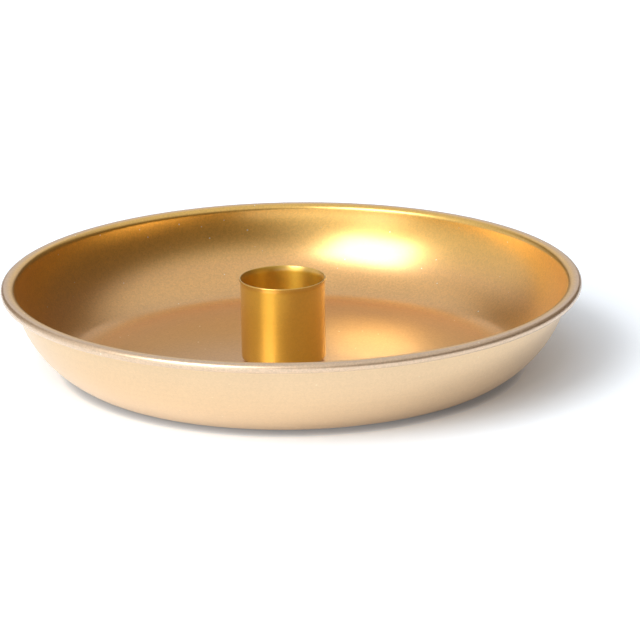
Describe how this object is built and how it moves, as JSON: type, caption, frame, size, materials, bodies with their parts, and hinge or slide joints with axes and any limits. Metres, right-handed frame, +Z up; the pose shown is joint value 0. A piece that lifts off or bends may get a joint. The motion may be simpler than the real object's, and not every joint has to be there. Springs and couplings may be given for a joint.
{
  "type": "candle plate",
  "caption": "Shallow round metal dish with a rolled lip and a short central cup that holds a dinner candle upright and catches its wax.",
  "frame": {"origin": "middle of the flat base, on the surface that the plate stands on", "axes": "+Z up out of the dish, +X to the right and -Y towards the viewer of the picture; the cup stands off the middle towards -X"},
  "size_m": [0.16, 0.16, 0.0246],
  "materials": {
    "dish_lacquer": "satin gold lacquer with a fine metallic flake",
    "cup_lacquer": "satin gold lacquer, deeper in tone"
  },
  "bodies": {
    "root": {"dish": "dish_lacquer", "candle_cup": "cup_lacquer", "cup_rivet": "cup_lacquer"}
  },
  "joints": []
}
